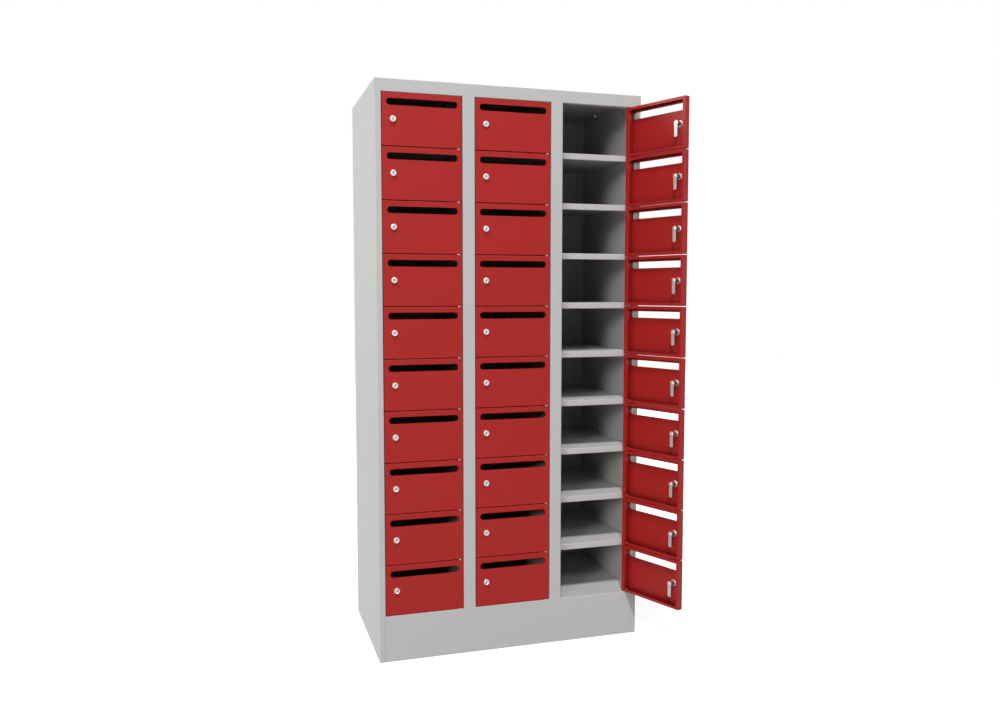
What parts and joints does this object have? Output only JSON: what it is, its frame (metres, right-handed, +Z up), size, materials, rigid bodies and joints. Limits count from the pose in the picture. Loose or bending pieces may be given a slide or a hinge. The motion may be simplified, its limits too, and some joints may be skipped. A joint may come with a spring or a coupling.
{
  "type": "pigeonhole mail sorter",
  "caption": "Tall sheet steel mail sorter cabinet with columns of pigeonholes, each behind a hinged door with a letter slot and a cam lock, one column standing open.",
  "frame": {"origin": "on the floor, on the cabinet's centre line, in the plane of the hinge rods, which is 7 mm behind the front face", "axes": "+Z up, +X to the right of a person facing the doors, +Y towards the back"},
  "size_m": [0.9617, 0.7275, 1.85],
  "materials": {
    "grey_paint": "semi-matt light grey powder coat",
    "red_paint": "semi-matt red powder coat",
    "zinc_steel": "bright zinc plate"
  },
  "bodies": {
    "cabinet": {"left_side_panel": "grey_paint", "right_side_panel": "grey_paint", "top_panel": "grey_paint", "base_panel": "grey_paint", "back_panel": "grey_paint", "partition_1": "grey_paint", "partition_2": "grey_paint", "shelf_1": "grey_paint", "shelf_2": "grey_paint", "shelf_3": "grey_paint", "shelf_4": "grey_paint", "shelf_5": "grey_paint", "shelf_6": "grey_paint", "shelf_7": "grey_paint", "shelf_8": "grey_paint", "shelf_9": "grey_paint", "hinge_rod_1": "zinc_steel", "hinge_rod_2": "zinc_steel", "hinge_rod_3": "zinc_steel"},
    "door_1_1": {"door_1_1": "red_paint"},
    "door_1_2": {"door_1_2": "red_paint"},
    "door_1_3": {"door_1_3": "red_paint"},
    "door_1_4": {"door_1_4": "red_paint"},
    "door_1_5": {"door_1_5": "red_paint"},
    "door_1_6": {"door_1_6": "red_paint"},
    "door_1_7": {"door_1_7": "red_paint"},
    "door_1_8": {"door_1_8": "red_paint"},
    "door_1_9": {"door_1_9": "red_paint"},
    "door_1_10": {"door_1_10": "red_paint"},
    "door_2_1": {"door_2_1": "red_paint"},
    "door_2_2": {"door_2_2": "red_paint"},
    "door_2_3": {"door_2_3": "red_paint"},
    "door_2_4": {"door_2_4": "red_paint"},
    "door_2_5": {"door_2_5": "red_paint"},
    "door_2_6": {"door_2_6": "red_paint"},
    "door_2_7": {"door_2_7": "red_paint"},
    "door_2_8": {"door_2_8": "red_paint"},
    "door_2_9": {"door_2_9": "red_paint"},
    "door_2_10": {"door_2_10": "red_paint"},
    "door_3_1": {"door_3_1": "red_paint"},
    "door_3_2": {"door_3_2": "red_paint"},
    "door_3_3": {"door_3_3": "red_paint"},
    "door_3_4": {"door_3_4": "red_paint"},
    "door_3_5": {"door_3_5": "red_paint"},
    "door_3_6": {"door_3_6": "red_paint"},
    "door_3_7": {"door_3_7": "red_paint"},
    "door_3_8": {"door_3_8": "red_paint"},
    "door_3_9": {"door_3_9": "red_paint"},
    "door_3_10": {"door_3_10": "red_paint"},
    "lock_cam_1": {"lock_cam_1": "zinc_steel"},
    "lock_cam_2": {"lock_cam_2": "zinc_steel"},
    "lock_cam_3": {"lock_cam_3": "zinc_steel"},
    "lock_cam_4": {"lock_cam_4": "zinc_steel"},
    "lock_cam_5": {"lock_cam_5": "zinc_steel"},
    "lock_cam_6": {"lock_cam_6": "zinc_steel"},
    "lock_cam_7": {"lock_cam_7": "zinc_steel"},
    "lock_cam_8": {"lock_cam_8": "zinc_steel"},
    "lock_cam_9": {"lock_cam_9": "zinc_steel"},
    "lock_cam_10": {"lock_cam_10": "zinc_steel"}
  },
  "joints": [
    {"name": "door_1_1_hinge", "type": "hinge", "parent": "cabinet", "child": "door_1_1", "pos_m": [-0.182, 0, 1.727], "axis": [0, 0, 1], "range_deg": [0, 115]},
    {"name": "door_1_2_hinge", "type": "hinge", "parent": "cabinet", "child": "door_1_2", "pos_m": [-0.182, 0, 1.561], "axis": [0, 0, 1], "range_deg": [0, 115]},
    {"name": "door_1_3_hinge", "type": "hinge", "parent": "cabinet", "child": "door_1_3", "pos_m": [-0.182, 0, 1.395], "axis": [0, 0, 1], "range_deg": [0, 115]},
    {"name": "door_1_4_hinge", "type": "hinge", "parent": "cabinet", "child": "door_1_4", "pos_m": [-0.182, 0, 1.229], "axis": [0, 0, 1], "range_deg": [0, 115]},
    {"name": "door_1_5_hinge", "type": "hinge", "parent": "cabinet", "child": "door_1_5", "pos_m": [-0.182, 0, 1.063], "axis": [0, 0, 1], "range_deg": [0, 115]},
    {"name": "door_1_6_hinge", "type": "hinge", "parent": "cabinet", "child": "door_1_6", "pos_m": [-0.182, 0, 0.897], "axis": [0, 0, 1], "range_deg": [0, 115]},
    {"name": "door_1_7_hinge", "type": "hinge", "parent": "cabinet", "child": "door_1_7", "pos_m": [-0.182, 0, 0.731], "axis": [0, 0, 1], "range_deg": [0, 115]},
    {"name": "door_1_8_hinge", "type": "hinge", "parent": "cabinet", "child": "door_1_8", "pos_m": [-0.182, 0, 0.565], "axis": [0, 0, 1], "range_deg": [0, 115]},
    {"name": "door_1_9_hinge", "type": "hinge", "parent": "cabinet", "child": "door_1_9", "pos_m": [-0.182, 0, 0.399], "axis": [0, 0, 1], "range_deg": [0, 115]},
    {"name": "door_1_10_hinge", "type": "hinge", "parent": "cabinet", "child": "door_1_10", "pos_m": [-0.182, 0, 0.233], "axis": [0, 0, 1], "range_deg": [0, 115]},
    {"name": "door_2_1_hinge", "type": "hinge", "parent": "cabinet", "child": "door_2_1", "pos_m": [0.118, 0, 1.727], "axis": [0, 0, 1], "range_deg": [0, 115]},
    {"name": "door_2_2_hinge", "type": "hinge", "parent": "cabinet", "child": "door_2_2", "pos_m": [0.118, 0, 1.561], "axis": [0, 0, 1], "range_deg": [0, 115]},
    {"name": "door_2_3_hinge", "type": "hinge", "parent": "cabinet", "child": "door_2_3", "pos_m": [0.118, 0, 1.395], "axis": [0, 0, 1], "range_deg": [0, 115]},
    {"name": "door_2_4_hinge", "type": "hinge", "parent": "cabinet", "child": "door_2_4", "pos_m": [0.118, 0, 1.229], "axis": [0, 0, 1], "range_deg": [0, 115]},
    {"name": "door_2_5_hinge", "type": "hinge", "parent": "cabinet", "child": "door_2_5", "pos_m": [0.118, 0, 1.063], "axis": [0, 0, 1], "range_deg": [0, 115]},
    {"name": "door_2_6_hinge", "type": "hinge", "parent": "cabinet", "child": "door_2_6", "pos_m": [0.118, 0, 0.897], "axis": [0, 0, 1], "range_deg": [0, 115]},
    {"name": "door_2_7_hinge", "type": "hinge", "parent": "cabinet", "child": "door_2_7", "pos_m": [0.118, 0, 0.731], "axis": [0, 0, 1], "range_deg": [0, 115]},
    {"name": "door_2_8_hinge", "type": "hinge", "parent": "cabinet", "child": "door_2_8", "pos_m": [0.118, 0, 0.565], "axis": [0, 0, 1], "range_deg": [0, 115]},
    {"name": "door_2_9_hinge", "type": "hinge", "parent": "cabinet", "child": "door_2_9", "pos_m": [0.118, 0, 0.399], "axis": [0, 0, 1], "range_deg": [0, 115]},
    {"name": "door_2_10_hinge", "type": "hinge", "parent": "cabinet", "child": "door_2_10", "pos_m": [0.118, 0, 0.233], "axis": [0, 0, 1], "range_deg": [0, 115]},
    {"name": "door_3_1_hinge", "type": "hinge", "parent": "cabinet", "child": "door_3_1", "pos_m": [0.418, 0, 1.727], "axis": [0, 0, 1], "range_deg": [-111.1, 3.9]},
    {"name": "door_3_2_hinge", "type": "hinge", "parent": "cabinet", "child": "door_3_2", "pos_m": [0.418, 0, 1.561], "axis": [0, 0, 1], "range_deg": [-111.1, 3.9]},
    {"name": "door_3_3_hinge", "type": "hinge", "parent": "cabinet", "child": "door_3_3", "pos_m": [0.418, 0, 1.395], "axis": [0, 0, 1], "range_deg": [-111.1, 3.9]},
    {"name": "door_3_4_hinge", "type": "hinge", "parent": "cabinet", "child": "door_3_4", "pos_m": [0.418, 0, 1.229], "axis": [0, 0, 1], "range_deg": [-111.1, 3.9]},
    {"name": "door_3_5_hinge", "type": "hinge", "parent": "cabinet", "child": "door_3_5", "pos_m": [0.418, 0, 1.063], "axis": [0, 0, 1], "range_deg": [-111.1, 3.9]},
    {"name": "door_3_6_hinge", "type": "hinge", "parent": "cabinet", "child": "door_3_6", "pos_m": [0.418, 0, 0.897], "axis": [0, 0, 1], "range_deg": [-111.1, 3.9]},
    {"name": "door_3_7_hinge", "type": "hinge", "parent": "cabinet", "child": "door_3_7", "pos_m": [0.418, 0, 0.731], "axis": [0, 0, 1], "range_deg": [-111.1, 3.9]},
    {"name": "door_3_8_hinge", "type": "hinge", "parent": "cabinet", "child": "door_3_8", "pos_m": [0.418, 0, 0.565], "axis": [0, 0, 1], "range_deg": [-111.1, 3.9]},
    {"name": "door_3_9_hinge", "type": "hinge", "parent": "cabinet", "child": "door_3_9", "pos_m": [0.418, 0, 0.399], "axis": [0, 0, 1], "range_deg": [-111.1, 3.9]},
    {"name": "door_3_10_hinge", "type": "hinge", "parent": "cabinet", "child": "door_3_10", "pos_m": [0.418, 0, 0.233], "axis": [0, 0, 1], "range_deg": [-111.1, 3.9]},
    {"name": "lock_cam_1_turn", "type": "hinge", "parent": "door_3_1", "child": "lock_cam_1", "pos_m": [0.49414, -0.19732, 1.727], "axis": [-0.933, -0.36, 0], "range_deg": [0, 90]},
    {"name": "lock_cam_2_turn", "type": "hinge", "parent": "door_3_2", "child": "lock_cam_2", "pos_m": [0.49414, -0.19732, 1.561], "axis": [-0.933, -0.36, 0], "range_deg": [0, 90]},
    {"name": "lock_cam_3_turn", "type": "hinge", "parent": "door_3_3", "child": "lock_cam_3", "pos_m": [0.49414, -0.19732, 1.395], "axis": [-0.933, -0.36, 0], "range_deg": [0, 90]},
    {"name": "lock_cam_4_turn", "type": "hinge", "parent": "door_3_4", "child": "lock_cam_4", "pos_m": [0.49414, -0.19732, 1.229], "axis": [-0.933, -0.36, 0], "range_deg": [0, 90]},
    {"name": "lock_cam_5_turn", "type": "hinge", "parent": "door_3_5", "child": "lock_cam_5", "pos_m": [0.49414, -0.19732, 1.063], "axis": [-0.933, -0.36, 0], "range_deg": [0, 90]},
    {"name": "lock_cam_6_turn", "type": "hinge", "parent": "door_3_6", "child": "lock_cam_6", "pos_m": [0.49414, -0.19732, 0.897], "axis": [-0.933, -0.36, 0], "range_deg": [0, 90]},
    {"name": "lock_cam_7_turn", "type": "hinge", "parent": "door_3_7", "child": "lock_cam_7", "pos_m": [0.49414, -0.19732, 0.731], "axis": [-0.933, -0.36, 0], "range_deg": [0, 90]},
    {"name": "lock_cam_8_turn", "type": "hinge", "parent": "door_3_8", "child": "lock_cam_8", "pos_m": [0.49414, -0.19732, 0.565], "axis": [-0.933, -0.36, 0], "range_deg": [0, 90]},
    {"name": "lock_cam_9_turn", "type": "hinge", "parent": "door_3_9", "child": "lock_cam_9", "pos_m": [0.49414, -0.19732, 0.399], "axis": [-0.933, -0.36, 0], "range_deg": [0, 90]},
    {"name": "lock_cam_10_turn", "type": "hinge", "parent": "door_3_10", "child": "lock_cam_10", "pos_m": [0.49414, -0.19732, 0.233], "axis": [-0.933, -0.36, 0], "range_deg": [0, 90]}
  ]
}
